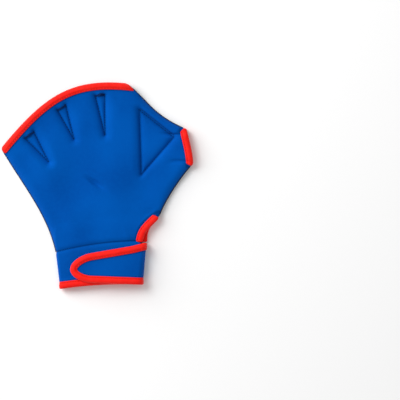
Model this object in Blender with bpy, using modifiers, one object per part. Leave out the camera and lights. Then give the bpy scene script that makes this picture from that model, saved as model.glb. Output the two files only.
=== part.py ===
"""Webbed swim glove, left hand, lying palm down with its wrist strap fastened.

Two neoprene panels are sewn together along the little-finger side, the web and the underside of
the thumb, and stay open at the fingers, the thumb, the wrist slit and the cuff. One strip makes
the cuff: it starts on the back of the wrist, goes round the little-finger side, under the palm,
round the thumb side, and closes over itself as a strap with a round end. Red tape folds over
every raw edge. Metres, +X towards the thumb, +Y towards the fingers, +Z up from the surface.
"""

import math

import bmesh
import bpy
from mathutils import Vector

# Driving sizes of the hand
HAND_SPAN = 0.2112
HAND_LENGTH = 0.1793
WRIST_WIDTH = 0.0990
CUFF_HEIGHT = 0.0440

# Sheet and tape
NEOPRENE = 0.0020
TAPE_WALL = 0.0007
TAPE_GAP = 0.00035
TAPE_REACH = 0.0064
TAPE_CORNER = 0.0004
SURFACE_CLEAR = 0.0001
MOUTH_CLEAR = 0.0005
SEAM_GAP = 0.0003
PIECE_GAP = 0.0003

# Room inside
HAND_HOLLOW = 0.0074
CUFF_HOLLOW = 0.0066
CUFF_SIDE_HOLLOW = 0.0032
SEAM_REACH = 0.0125
SLIT_REACH = 0.0250
WRIST_REACH = 0.0310
PINCHED_PUFF = 0.22
CUFF_FULLNESS = 0.60

# Wrist slit and strap
NOTCH_STEP = 0.0044
SEAM_RISE = 0.0122
SEAM_BULGE = 0.0034
HEM_RISE = 0.0053
HEM_BULGE = 0.0028
LITTLE_TAPER = 0.0048
THUMB_TAPER = 0.0038
STRAP_LENGTH = 0.0820
STRAP_WIDTH = 0.0302
STRAP_ROOT_WIDTH = 0.0430
STRAP_DROP = 0.0237
STRAP_SLANT = 0.0040
STRAP_ROUND = 0.0219
STRAP_GAP = 0.0026
BACK_TUCK = 0.0008
PATCH_LENGTH = 0.0300
PATCH_OVERHANG = 0.27
PATCH_WIDTH = 0.0110

# How finely the sheets are divided
BACK_COLUMNS = 30
PALM_COLUMNS = 22
LAYER_CELLS = 12
STRAP_CELLS = 7
LEFT_FOLD_CELLS = 6
RIGHT_FOLD_CELLS = 8
STRIP_ROWS = (0.0, 0.155, 0.25, 1.0)
ROUND_ANGLES = (22.0, 42.0, 60.0, 76.0)
EDGE_BAND = 0.0080
LEVEL_BAND = 0.0084
PALM_BLEND = 0.0056
BACK_BLEND = 0.0072
PATCH_CELLS = 6
EDGE_STEPS = 160
RELIEF_STEP = 8
FOLD_ROUNDS = 12
SHARP_ANGLE = 50.0

# Corners of the palm outline: share of HAND_SPAN across, share of HAND_LENGTH up, from the wrist's middle
CORNERS = {
    "little_finger": (-0.5152, 0.5945),
    "index": (0.1440, 0.9890),
    "thumb_top": (0.4400, 0.7160),
    "thumb_bottom": (0.4740, 0.5030),
    "slit_top": (0.2985, 0.1760),
}

# Edge: start, end, heading at the start, heading at the end (degrees), pull at each as a share of the chord
EDGES = {
    "little_side": ("wrist_little", "little_finger", 102.3, 120.1, 0.339, 0.358),
    "fingers": ("little_finger", "index", 50.4, -5.8, 0.470, 0.416),
    "slit": ("wrist_thumb", "slit_top", 90.0, 38.0, 0.420, 0.420),
    "thumb_under": ("slit_top", "thumb_bottom", 72.0, 45.0, 0.300, 0.200),
    "thumb_mouth": ("thumb_bottom", "thumb_top", 91.1, 102.7, 0.309, 0.302),
    "web": ("thumb_top", "index", 156.3, 138.9, 0.507, 0.352),
}

# Rows of cells along each edge of the thumb side, from the wrist up
SIDE_ROWS = (("slit", 4), ("thumb_under", 8), ("thumb_mouth", 6), ("web", 9))

# Stitched darts between the fingers: apex across and up, left top across and up, right top across and up
DARTS = (
    (-0.2717, 0.5157, -0.3967, 0.6624, -0.3498, 0.7025),
    (-0.1396, 0.6535, -0.2276, 0.8342, -0.1831, 0.8648),
    (0.0209, 0.6797, -0.0302, 0.9235, 0.0200, 0.9297),
)

# Stitched triangle of the web: index side, thumb side, palm side
WEB_TRIANGLE = (0.1999, 0.8342, 0.3794, 0.6669, 0.2108, 0.4388)

BLUE = (0.004, 0.080, 0.420, 1.0)
BLACK = (0.010, 0.010, 0.009, 1.0)
RED = (0.800, 0.012, 0.008, 1.0)
GREY = (0.080, 0.080, 0.080, 1.0)

RAISE = TAPE_GAP + TAPE_WALL + SURFACE_CLEAR
MOUTH_HOLLOW = 2.0 * RAISE + MOUTH_CLEAR


def smooth(share):
    """Ease from 0 to 1 with level ends."""
    share = min(max(share, 0.0), 1.0)
    return share * share * (3.0 - 2.0 * share)


def seam_y(x):
    """Height of the seam between hand and cuff."""
    share = (x + WRIST_WIDTH / 2.0) / WRIST_WIDTH
    bulge = 4.0 * SEAM_BULGE * share * (1.0 - share)
    return SEAM_RISE * (share - 0.5) + bulge


def hem_y(x):
    """Height of the cuff's hem."""
    share = (x + WRIST_WIDTH / 2.0) / WRIST_WIDTH
    bulge = 4.0 * HEM_BULGE * share * (1.0 - share)
    return HEM_RISE * (share - 0.5) + bulge - CUFF_HEIGHT


def corner_points(slit_step):
    """All corners of one panel's outline, with the thumb end of its wrist seam moved in by slit_step."""
    points = {name: Vector((HAND_SPAN * a, HAND_LENGTH * b)) for name, (a, b) in CORNERS.items()}
    half = WRIST_WIDTH / 2.0
    points["wrist_little"] = Vector((-half, seam_y(-half)))
    points["wrist_thumb"] = Vector((half - slit_step, seam_y(half - slit_step)))
    return points


def edge_curve(name, points):
    """Dense points along one named edge."""
    start, end, heading_in, heading_out, pull_in, pull_out = EDGES[name]
    a, d = points[start], points[end]
    chord = (d - a).length
    angle_in, angle_out = math.radians(heading_in), math.radians(heading_out)
    b = a + chord * pull_in * Vector((math.cos(angle_in), math.sin(angle_in)))
    c = d - chord * pull_out * Vector((math.cos(angle_out), math.sin(angle_out)))
    curve = []
    for step in range(EDGE_STEPS + 1):
        t = step / EDGE_STEPS
        s = 1.0 - t
        curve.append(s**3 * a + 3 * s * s * t * b + 3 * s * t * t * c + t**3 * d)
    return curve


def walk(curve, distances):
    """Points at the given distances along a dense curve."""
    found, run, index = [], 0.0, 0
    for distance in distances:
        while index < len(curve) - 2 and run + (curve[index + 1] - curve[index]).length < distance:
            run += (curve[index + 1] - curve[index]).length
            index += 1
        step = curve[index + 1] - curve[index]
        found.append(curve[index] + step * ((distance - run) / step.length))
    return found


def length_of(curve):
    return sum((b - a).length for a, b in zip(curve, curve[1:]))


def evenly(curve, cells, first=0.0, last=0.0):
    """Points that divide a curve into cells, with a first and a last cell of their own length if given."""
    total = length_of(curve)
    inner = cells - bool(first) - bool(last)
    marks = [first + (total - first - last) * k / inner for k in range(inner + 1)]
    if first:
        marks.insert(0, 0.0)
    if last:
        marks.append(total)
    return walk(curve, marks)


def corner_step(into, out):
    """Distance from a corner at which the edge band of the other edge starts, from the ways of the two edges."""
    return EDGE_BAND / abs(into.normalized().cross(out.normalized()))


def inset(points, band):
    """Points moved to the left of their run by band, mitred at each bend."""
    moved = []
    for k, point in enumerate(points):
        before = point - points[k - 1] if k else points[1] - point
        after = points[k + 1] - point if k < len(points) - 1 else before
        normals = [Vector((-v.y, v.x)).normalized() for v in (before, after)]
        mitre = (normals[0] + normals[1]).normalized()
        moved.append(point + mitre * band / max(mitre.dot(normals[0]), 0.5))
    return moved


class Panel:
    """Plan of one panel: a grid of points, with a band of fixed width along its three free sides."""

    def __init__(self, columns, slit_step):
        corners = corner_points(slit_step)
        curves = {name: edge_curve(name, corners) for name in EDGES}
        little = curves["little_side"]
        fingers = curves["fingers"]
        web = curves["web"]
        at_little = corner_step(little[-1] - little[-2], fingers[1] - fingers[0])
        at_index = corner_step(fingers[-1] - fingers[-2], web[-1] - web[-2])
        self.curves = curves
        self.side_marks = {}
        thumb_side = [corners["wrist_thumb"]]
        for name, rows in SIDE_ROWS:
            start = len(thumb_side) - 1
            thumb_side += evenly(curves[name], rows, last=at_index if name == "web" else 0.0)[1:]
            self.side_marks[name] = (start, len(thumb_side) - 1)
        self.rows = len(thumb_side) - 1
        self.columns = columns + 2
        little_side = evenly(little, self.rows, last=at_little)
        top = evenly(fingers, self.columns, first=at_little, last=at_index)
        inner_left = inset(little_side, -EDGE_BAND)[:-1]
        inner_right = inset(thumb_side, EDGE_BAND)[:-1]
        inner_top = inset(top, -EDGE_BAND)[1:-1]
        inner_left[0] = self.on_seam(little_side[0].x + EDGE_BAND)
        inner_right[0] = self.on_seam(thumb_side[0].x - EDGE_BAND)
        inner_left[-1] = little_side[-2] + top[1] - top[0]
        inner_right[-1] = thumb_side[-2] + top[-2] - top[-1]
        inner_top[0], inner_top[-1] = inner_left[-1], inner_right[-1]
        self.points = self.fill(inner_left, inner_right, inner_top, columns)
        for j in range(self.rows):
            self.points[0, j] = little_side[j]
            self.points[self.columns, j] = thumb_side[j]
        for i in range(self.columns + 1):
            self.points[i, self.rows] = top[i]

    def on_seam(self, x):
        return Vector((x, seam_y(x)))

    def fill(self, left, right, top, columns):
        """Blend the four inner sides into a grid, with ruled lines that keep each side."""
        rows = len(left) - 1
        points = {}
        for i in range(columns + 1):
            u = i / columns
            bottom = self.on_seam(left[0].x + (right[0].x - left[0].x) * u)
            for j in range(rows + 1):
                v = j / rows
                across = left[j] * (1 - u) + right[j] * u
                up = bottom * (1 - v) + top[i] * v
                low = left[0] * (1 - u) + right[0] * u
                high = left[rows] * (1 - u) + right[rows] * u
                points[i + 1, j] = across + up - low * (1 - v) - high * v
        return points


def distance_to(point, line):
    """Shortest distance from a point to a run of points."""
    best = math.inf
    for a, b in zip(line, line[1:]):
        run = b - a
        share = min(max((point - a).dot(run) / run.length_squared, 0.0), 1.0)
        best = min(best, (point - a - run * share).length)
    return best


def inside(point, triangle):
    """Whether a point lies in a triangle."""
    turns = [(b - a).cross(point - a) for a, b in zip(triangle, triangle[1:] + triangle[:1])]
    return min(turns) >= 0.0 or max(turns) <= 0.0


def hand_point(across, up):
    return Vector((HAND_SPAN * across, HAND_LENGTH * up))


def stitched_shapes():
    """The three darts and the web triangle, as triangles."""
    rows = list(DARTS) + [WEB_TRIANGLE]
    return [[hand_point(*row[k : k + 2]) for k in (0, 2, 4)] for row in rows]


class Relief:
    """Heights of the two panels: how far the palm is lifted, and how wide the hollow over it is."""

    def __init__(self):
        curves = Panel(4, 0.0).curves
        back_slit = edge_curve("slit", corner_points(NOTCH_STEP))
        thin = slice(None, None, RELIEF_STEP)
        self.mouths = [curves["fingers"][thin], curves["thumb_mouth"][thin], curves["slit"][thin]]
        self.back_slit = back_slit[thin]
        self.seams = [curves[name][thin] for name in ("little_side", "web", "thumb_under")]
        self.shapes = stitched_shapes()
        for a, b, c in self.shapes[:-1]:
            self.seams += [[a, b], [a, c]]
        a, b, c = self.shapes[-1]
        self.seams.append([a, b, c, a])

    def palm_lift(self, point):
        """Lift of the palm sheet, which makes room for the tape under it along the mouths."""
        near = min(distance_to(point, line) for line in self.mouths)
        return RAISE * (1.0 - smooth((near - LEVEL_BAND) / PALM_BLEND))

    def hollow(self, point):
        """Height of the room between the panels."""
        near = min(distance_to(point, line) for line in self.seams)
        rise = smooth(near / SEAM_REACH)
        if any(inside(point, shape) for shape in self.shapes):
            rise *= PINCHED_PUFF
        full = SEAM_GAP + HAND_HOLLOW
        room = SEAM_GAP + HAND_HOLLOW * rise
        slit = distance_to(point, self.back_slit)
        room = min(room, CUFF_SIDE_HOLLOW + HAND_HOLLOW * smooth(slit / SLIT_REACH))
        wrist = smooth((point.y - seam_y(point.x)) / WRIST_REACH)
        room = min(room, cuff_room(cuff_share(point.x, 1.0)) * (1.0 - wrist) + full * wrist)
        mouth = min(distance_to(point, line) for line in self.mouths + [self.back_slit])
        opened = 1.0 - smooth((mouth - LEVEL_BAND) / BACK_BLEND)
        return max(room, MOUTH_HOLLOW * opened)


def cuff_sides(t):
    """Outer ends of the folded cuff across, at share t of the way from the hem to the seam."""
    half = WRIST_WIDTH / 2.0 + PIECE_GAP
    return -half + LITTLE_TAPER * (1.0 - t), half - THUMB_TAPER * (1.0 - t)


def cuff_share(x, t):
    low, high = cuff_sides(t)
    return min(max((x - low) / (high - low), 0.0), 1.0)


def cuff_room(share):
    """Height of the room inside the cuff, at a share of the way across."""
    return CUFF_SIDE_HOLLOW + (CUFF_HOLLOW - CUFF_SIDE_HOLLOW) * math.sin(math.pi * share) ** CUFF_FULLNESS


def strip_lift(t):
    return RAISE * (1.0 - smooth((t - STRIP_ROWS[1]) / (STRIP_ROWS[2] - STRIP_ROWS[1])))


class Strip:
    """Middle surface of the strip that makes the cuff and the strap."""

    def __init__(self):
        self.tip_x = cuff_sides(1.0)[1] - STRAP_LENGTH
        self.round_x = self.tip_x + STRAP_ROUND
        self.rows = [self.path(t) for t in STRIP_ROWS]
        self.fold_start = LAYER_CELLS * 2 + 1 + LEFT_FOLD_CELLS
        self.strap_start = self.fold_start + RIGHT_FOLD_CELLS

    def palm_z(self, t):
        return NEOPRENE / 2.0 + strip_lift(t)

    def back_z(self, x, t):
        return self.palm_z(t) + NEOPRENE + cuff_room(cuff_share(x, t))

    def strap_z(self, x):
        return self.back_z(x, 0.0) + NEOPRENE + STRAP_GAP

    def strap_middle(self, x):
        share = (x - self.round_x) / (cuff_sides(1.0)[1] - self.round_x)
        return -STRAP_DROP + STRAP_SLANT * share

    def strap_half(self, x):
        share = (x - self.round_x) / (cuff_sides(1.0)[1] - self.round_x)
        return (STRAP_WIDTH + (STRAP_ROOT_WIDTH - STRAP_WIDTH) * share) / 2.0

    def fold_centre(self, t, side):
        """Middle of the left (0) or right (1) fold: across, up, radius."""
        low, high = cuff_sides(t)
        radius = NEOPRENE
        for _ in range(FOLD_ROUNDS):
            if side:
                x = high - radius - NEOPRENE / 2.0
                radius = (self.strap_z(x) - self.palm_z(t)) / 2.0
            else:
                x = low + radius + NEOPRENE / 2.0
                radius = (self.back_z(x, t) - self.palm_z(t)) / 2.0
        return x, self.palm_z(t) + radius, radius

    def layer_point(self, x, t, z):
        y = hem_y(x) + (seam_y(x) - PIECE_GAP - hem_y(x)) * t
        return Vector((x, y, z))

    def strap_point(self, x, t, z, narrow=1.0):
        y = self.strap_middle(x) + self.strap_half(x) * narrow * (2.0 * t - 1.0)
        return Vector((x, y, z))

    def path(self, t):
        """One row of the strip, from its hidden end on the back round to the strap's tip."""
        left_x, left_z, left_r = self.fold_centre(t, 0)
        right_x, right_z, right_r = self.fold_centre(t, 1)
        spread = [left_x + (right_x - left_x) * k / LAYER_CELLS for k in range(LAYER_CELLS + 1)]
        end_x = right_x + BACK_TUCK
        row = [self.layer_point(end_x, t, self.back_z(end_x, t))]
        row += [self.layer_point(x, t, self.back_z(x, t)) for x in reversed(spread)]
        for k in range(1, LEFT_FOLD_CELLS):
            angle = math.pi * k / LEFT_FOLD_CELLS
            x = left_x - left_r * math.sin(angle)
            row.append(self.layer_point(x, t, left_z + left_r * math.cos(angle)))
        row += [self.layer_point(x, t, self.palm_z(t)) for x in spread]
        for k in range(1, RIGHT_FOLD_CELLS):
            angle = math.pi * k / RIGHT_FOLD_CELLS
            x = right_x + right_r * math.sin(angle)
            row.append(self.strap_point(x, t, right_z - right_r * math.cos(angle)))
        for k in range(STRAP_CELLS + 1):
            x = right_x + (self.round_x - right_x) * k / STRAP_CELLS
            row.append(self.strap_point(x, t, self.strap_z(x)))
        for angle in map(math.radians, ROUND_ANGLES):
            x = self.round_x - STRAP_ROUND * math.sin(angle)
            row.append(self.strap_point(x, t, self.strap_z(x), math.cos(angle)))
        return row


def add_collection(name):
    collection = bpy.data.collections.new(name)
    bpy.context.scene.collection.children.link(collection)
    return collection


def add_material(name, colour, roughness):
    material = bpy.data.materials.new(name)
    material.use_nodes = True
    shader = material.node_tree.nodes["Principled BSDF"]
    shader.inputs["Base Color"].default_value = colour
    shader.inputs["Roughness"].default_value = roughness
    shader.inputs["Metallic"].default_value = 0.0
    return material


def add_object(name, mesh_maker, material, collection):
    """A new object from a bmesh, with outward faces, smooth but for sharp bends."""
    mesh = bpy.data.meshes.new(name)
    bmesh.ops.recalc_face_normals(mesh_maker, faces=mesh_maker.faces)
    mesh_maker.to_mesh(mesh)
    mesh_maker.free()
    mesh.shade_smooth()
    mesh.set_sharp_from_angle(angle=math.radians(SHARP_ANGLE))
    mesh.materials.append(material)
    item = bpy.data.objects.new(name, mesh)
    collection.objects.link(item)
    return item


def mapped_grid(columns, rows, place):
    """A grid of cells whose points are put where place(i, j) says."""
    sheet = bmesh.new()
    bmesh.ops.create_grid(sheet, x_segments=columns, y_segments=rows, size=1.0)
    for vertex in sheet.verts:
        i = round((vertex.co.x + 1.0) / 2.0 * columns)
        j = round((vertex.co.y + 1.0) / 2.0 * rows)
        vertex.co = place(i, j)
    return sheet


def lift_sheet(sheet, thickness):
    """Give a sheet its thickness straight up."""
    raised = bmesh.ops.extrude_face_region(sheet, geom=sheet.faces[:])
    verts = [item for item in raised["geom"] if isinstance(item, bmesh.types.BMVert)]
    bmesh.ops.translate(sheet, verts=verts, vec=(0.0, 0.0, thickness))


def make_panel(name, panel, height, material, collection):
    """One neoprene panel, with its underside at the given height."""

    def place(i, j):
        return panel.points[i, j].to_3d() + Vector((0.0, 0.0, height[i, j]))

    sheet = mapped_grid(panel.columns, panel.rows, place)
    bmesh.ops.triangulate(sheet, faces=sheet.faces, quad_method="FIXED")
    lift_sheet(sheet, NEOPRENE)
    return add_object(name, sheet, material, collection)


def panel_heights(panel, relief, is_back):
    """Underside height of each grid point of a panel, level across the band that the tape covers."""
    heights = {}
    for key, point in panel.points.items():
        heights[key] = relief.palm_lift(point)
        if is_back:
            heights[key] += NEOPRENE + relief.hollow(point)
    for i in range(panel.columns + 1):
        heights[i, panel.rows - 1] = heights[i, panel.rows]
    for name in ("slit", "thumb_mouth"):
        start, end = panel.side_marks[name]
        for j in range(start, end + 1):
            heights[panel.columns - 1, j] = heights[panel.columns, j]
    return heights


def make_strip(strip, material, collection):
    """The cuff and strap, one strip with two folds."""
    stations = len(strip.rows[0]) - 1
    sheet = mapped_grid(stations, len(STRIP_ROWS) - 1, lambda i, j: strip.rows[j][i])
    item = add_object("cuff_strap", sheet, material, collection)
    wall = item.modifiers.new("wall", "SOLIDIFY")
    wall.thickness = NEOPRENE
    wall.offset = 0.0
    wall.use_even_offset = True
    return item


def tape_profile():
    """Inner face of the folded tape: distance in from the edge, share of its half height."""
    half = NEOPRENE / 2.0 + TAPE_GAP
    upper = [(TAPE_REACH, half), (0.0, half), (-TAPE_GAP, half - TAPE_CORNER)]
    return upper + [(inward, -rise) for inward, rise in reversed(upper)]


def make_tape(name, stations, material, collection):
    """Tape folded over an edge. A station is the edge's middle point, the way in and the way up.

    Both arms are cut along the same diagonals as the panel cells that they cover.
    """
    profile = tape_profile()

    def place(i, j):
        middle, inward, up = stations[i]
        a, b = profile[j]
        return middle + inward * a + up * b

    sheet = mapped_grid(len(stations) - 1, len(profile) - 1, place)
    sheet.faces.ensure_lookup_table()
    upper_cells = (len(stations) - 1) * (len(profile) // 2)
    upper, lower = sheet.faces[:upper_cells], sheet.faces[upper_cells:]
    bmesh.ops.triangulate(sheet, faces=upper, quad_method="FIXED")
    bmesh.ops.triangulate(sheet, faces=lower, quad_method="ALTERNATE")
    item = add_object(name, sheet, material, collection)
    centre = stations[len(stations) // 2]
    outward = centre[0] - centre[1]
    mesh = item.data
    mesh.update()
    middle_faces = sorted(mesh.polygons, key=lambda face: (face.center - outward).length)
    if middle_faces[0].normal.dot(centre[1]) > 0.0:
        mesh.flip_normals()
    wall = item.modifiers.new("wall", "SOLIDIFY")
    wall.thickness = TAPE_WALL
    wall.offset = 1.0
    wall.use_even_offset = True
    return item


def panel_stations(panel, heights, keys):
    """Tape stations along grid points of a panel: keys pairs each edge point with the next point in."""
    middles = [panel.points[edge].to_3d() + Vector((0, 0, heights[edge] + NEOPRENE / 2)) for edge, _ in keys]
    stations = []
    for k, (edge, inner) in enumerate(keys):
        run = (middles[min(k + 1, len(keys) - 1)] - middles[max(k - 1, 0)]).to_2d().normalized()
        way = panel.points[inner] - panel.points[edge]
        width = abs(run.cross(way))
        drop = heights[inner] - heights[edge]
        inward = Vector((way.x, way.y, drop)) / width
        stations.append((middles[k], inward, Vector((0.0, 0.0, 1.0))))
    return stations


def finger_stations(panel, heights):
    keys = [((i, panel.rows), (i, panel.rows - 1)) for i in range(panel.columns + 1)]
    return panel_stations(panel, heights, keys)


def side_stations(panel, heights, name):
    start, end = panel.side_marks[name]
    keys = [((panel.columns, j), (panel.columns - 1, j)) for j in range(start, end + 1)]
    return panel_stations(panel, heights, keys)


def strip_stations(strip):
    """Tape stations round the strip: its hem, the strap's lower edge, round end and upper edge."""
    low, high = strip.rows[0], strip.rows[-1]
    straight = len(low) - len(ROUND_ANGLES)
    tip = [row[-1] for row in strip.rows]
    top = range(len(high) - 2, strip.fold_start + 1, -1)
    edge = low[:-1] + tip + [high[k] for k in top]
    ways = [strip.rows[1][k] - low[k] if k < straight else None for k in range(len(low) - 1)]
    ways += [None] * len(tip)
    ways += [strip.rows[-2][k] - high[k] if k < straight else None for k in top]
    stations = []
    for k, (point, way) in enumerate(zip(edge, ways)):
        run = (edge[min(k + 1, len(edge) - 1)] - edge[max(k - 1, 0)]).normalized()
        if way is None:
            inward = Vector((run.y, -run.x, 0.0)).normalized()
            ahead = point.x + inward.x * TAPE_REACH
            inward.z = (strip.strap_z(ahead) - strip.strap_z(point.x)) / TAPE_REACH
            up = Vector((0.0, 0.0, -1.0))
        else:
            up = run.cross(way).normalized()
            inward = up.cross(run).normalized()
        stations.append((point, inward, up))
    return stations


def make_patch(strip, material, collection):
    """The engaged hook-and-loop pair between the strap and the back of the cuff."""
    low_x = strip.round_x - PATCH_LENGTH * PATCH_OVERHANG
    middle = strip.strap_middle(strip.round_x)

    def place(i, j):
        x = low_x + PATCH_LENGTH * i / PATCH_CELLS
        y = middle + PATCH_WIDTH * (j - 0.5)
        return Vector((x, y, strip.back_z(x, 1.0) + NEOPRENE / 2.0 + PIECE_GAP))

    sheet = mapped_grid(PATCH_CELLS, 1, place)
    lift_sheet(sheet, STRAP_GAP + RAISE - 2.0 * PIECE_GAP)
    return add_object("closure_patch", sheet, material, collection)


def centre_on_surface(items):
    """Move the whole glove so that the middle of its box's underside is the origin."""
    graph = bpy.context.evaluated_depsgraph_get()
    points = []
    for item in items:
        evaluated = item.evaluated_get(graph)
        points += [item.matrix_world @ vertex.co for vertex in evaluated.to_mesh().vertices]
        evaluated.to_mesh_clear()
    low = Vector([min(point[axis] for point in points) for axis in range(3)])
    high = Vector([max(point[axis] for point in points) for axis in range(3)])
    shift = Vector((-(low.x + high.x) / 2.0, -(low.y + high.y) / 2.0, -low.z))
    for item in items:
        item.location = shift


def main():
    for item in list(bpy.data.objects):
        bpy.data.objects.remove(item, do_unlink=True)
    collection = add_collection("webbed_swim_glove")
    blue = add_material("blue_neoprene", BLUE, 0.75)
    black = add_material("black_knit_neoprene", BLACK, 0.85)
    red = add_material("red_tape", RED, 0.60)
    grey = add_material("hook_and_loop", GREY, 0.90)
    relief = Relief()
    palm = Panel(PALM_COLUMNS, 0.0)
    back = Panel(BACK_COLUMNS, NOTCH_STEP)
    palm_heights = panel_heights(palm, relief, False)
    back_heights = panel_heights(back, relief, True)
    strip = Strip()
    items = [
        make_panel("back_panel", back, back_heights, blue, collection),
        make_panel("palm_panel", palm, palm_heights, black, collection),
        make_strip(strip, blue, collection),
        make_patch(strip, grey, collection),
        make_tape("cuff_binding", strip_stations(strip), red, collection),
    ]
    for side, panel, heights in (("back", back, back_heights), ("palm", palm, palm_heights)):
        fingers = finger_stations(panel, heights)
        items.append(make_tape(f"{side}_finger_binding", fingers, red, collection))
        for edge, node in (("thumb_mouth", "thumb_binding"), ("slit", "slit_binding")):
            stations = side_stations(panel, heights, edge)
            items.append(make_tape(f"{side}_{node}", stations, red, collection))
    bpy.context.view_layer.update()
    centre_on_surface(items)


main()
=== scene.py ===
"""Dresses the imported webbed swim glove: fine sheets, tapes, stitches, cloth finishes and a plain studio.

Every piece repeats the plan of its solid at a finer pitch, so it lies where the solid lies. Metres,
+X towards the thumb, +Y towards the fingers, +Z up from the surface that the palm lies on.
"""

from __future__ import annotations

import logging
import math
from dataclasses import dataclass, field
from enum import Enum
from typing import Sequence

import bmesh
import bpy
import numpy as np
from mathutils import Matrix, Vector
from mathutils.kdtree import KDTree


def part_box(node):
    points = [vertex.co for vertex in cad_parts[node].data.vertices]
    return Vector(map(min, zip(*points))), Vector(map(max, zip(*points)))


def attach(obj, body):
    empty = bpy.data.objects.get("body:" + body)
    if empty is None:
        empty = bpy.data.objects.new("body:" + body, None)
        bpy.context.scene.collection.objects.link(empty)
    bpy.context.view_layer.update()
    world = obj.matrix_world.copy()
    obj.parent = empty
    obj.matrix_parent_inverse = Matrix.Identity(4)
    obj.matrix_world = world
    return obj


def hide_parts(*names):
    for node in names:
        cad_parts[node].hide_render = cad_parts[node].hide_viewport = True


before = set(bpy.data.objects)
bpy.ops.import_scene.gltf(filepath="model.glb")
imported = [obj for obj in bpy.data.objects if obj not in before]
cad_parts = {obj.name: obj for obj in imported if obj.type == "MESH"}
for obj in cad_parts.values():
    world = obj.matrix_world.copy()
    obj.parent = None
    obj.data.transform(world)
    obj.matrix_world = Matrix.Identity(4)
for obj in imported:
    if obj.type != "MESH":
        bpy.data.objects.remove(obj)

LOG = logging.getLogger("webbed_swim_glove")
MITRE_LEAST = 0.5
POLE = 1e-3
Colour = tuple[float, float, float]
Array = np.ndarray
Number = Array | float
Shape = bmesh.types.BMesh
Material = bpy.types.Material
Socket = bpy.types.NodeSocket


class Side(Enum):
    """The two faces of the glove."""

    BACK = "back"
    PALM = "palm"

    @property
    def up(self) -> float:
        """Outward way of the face along Z."""
        return 1.0 if self is Side.BACK else -1.0


class Mouth(Enum):
    """The bound openings of one panel, with the edge of the plan that each follows."""

    FINGERS = "fingers"
    THUMB = "thumb_mouth"
    SLIT = "slit"


@dataclass(frozen=True)
class Cloth:
    """Sheet and tape thicknesses."""

    sheet: float = 0.0020
    tape_wall: float = 0.0007
    tape_gap: float = 0.00035
    tape_reach: float = 0.0066
    surface_clear: float = 0.0001
    mouth_clear: float = 0.0005
    seam_gap: float = 0.0003
    piece_gap: float = 0.0003

    @property
    def rise(self) -> float:
        """Room that a folded tape takes under a sheet."""
        return self.tape_gap + self.tape_wall + self.surface_clear


@dataclass(frozen=True)
class HandSizes:
    """Plan of the hand part, in a frame with its origin at the wrist's middle."""

    span: float = 0.2112
    length: float = 0.1793
    wrist: float = 0.0990
    seam_rise: float = 0.0122
    seam_bulge: float = 0.0034
    band: float = 0.0080
    notch: float = 0.0044
    slit_swell: float = 0.0016
    corners: dict = field(
        default_factory=lambda: {
            "little_finger": (-0.5152, 0.5945),
            "index": (0.1440, 0.9890),
            "thumb_top": (0.4400, 0.7160),
            "thumb_bottom": (0.4740, 0.5030),
            "slit_top": (0.2985, 0.1760),
        }
    )
    edges: dict = field(
        default_factory=lambda: {
            "little_side": ("wrist_little", "little_finger", 102.3, 120.1, 0.339, 0.358),
            "fingers": ("little_finger", "index", 50.4, -5.8, 0.470, 0.416),
            "slit": ("wrist_thumb", "slit_top", 90.0, 38.0, 0.420, 0.420),
            "thumb_under": ("slit_top", "thumb_bottom", 72.0, 45.0, 0.300, 0.200),
            "thumb_mouth": ("thumb_bottom", "thumb_top", 91.1, 102.7, 0.309, 0.302),
            "web": ("thumb_top", "index", 156.3, 138.9, 0.507, 0.352),
        }
    )
    rows: tuple = (("slit", 4), ("thumb_under", 8), ("thumb_mouth", 6), ("web", 9))
    darts: tuple = (
        (-0.2717, 0.5157, -0.3967, 0.6624, -0.3498, 0.7025),
        (-0.1396, 0.6535, -0.2276, 0.8342, -0.1831, 0.8648),
        (0.0209, 0.6797, -0.0302, 0.9235, 0.0200, 0.9297),
    )
    triangle: tuple = (0.1999, 0.8342, 0.3794, 0.6669, 0.2108, 0.4388)

    def seam_y(self, x: Number) -> Number:
        """Height of the wrist seam at x."""
        share = (x + self.wrist / 2.0) / self.wrist
        return self.seam_rise * (share - 0.5) + 4.0 * self.seam_bulge * share * (1.0 - share)

    def shapes(self) -> list[Array]:
        """The three darts and the web triangle, each as three corners."""
        scale = np.array((self.span, self.length))
        return [np.array(row).reshape(3, 2) * scale for row in (*self.darts, self.triangle)]


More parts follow.
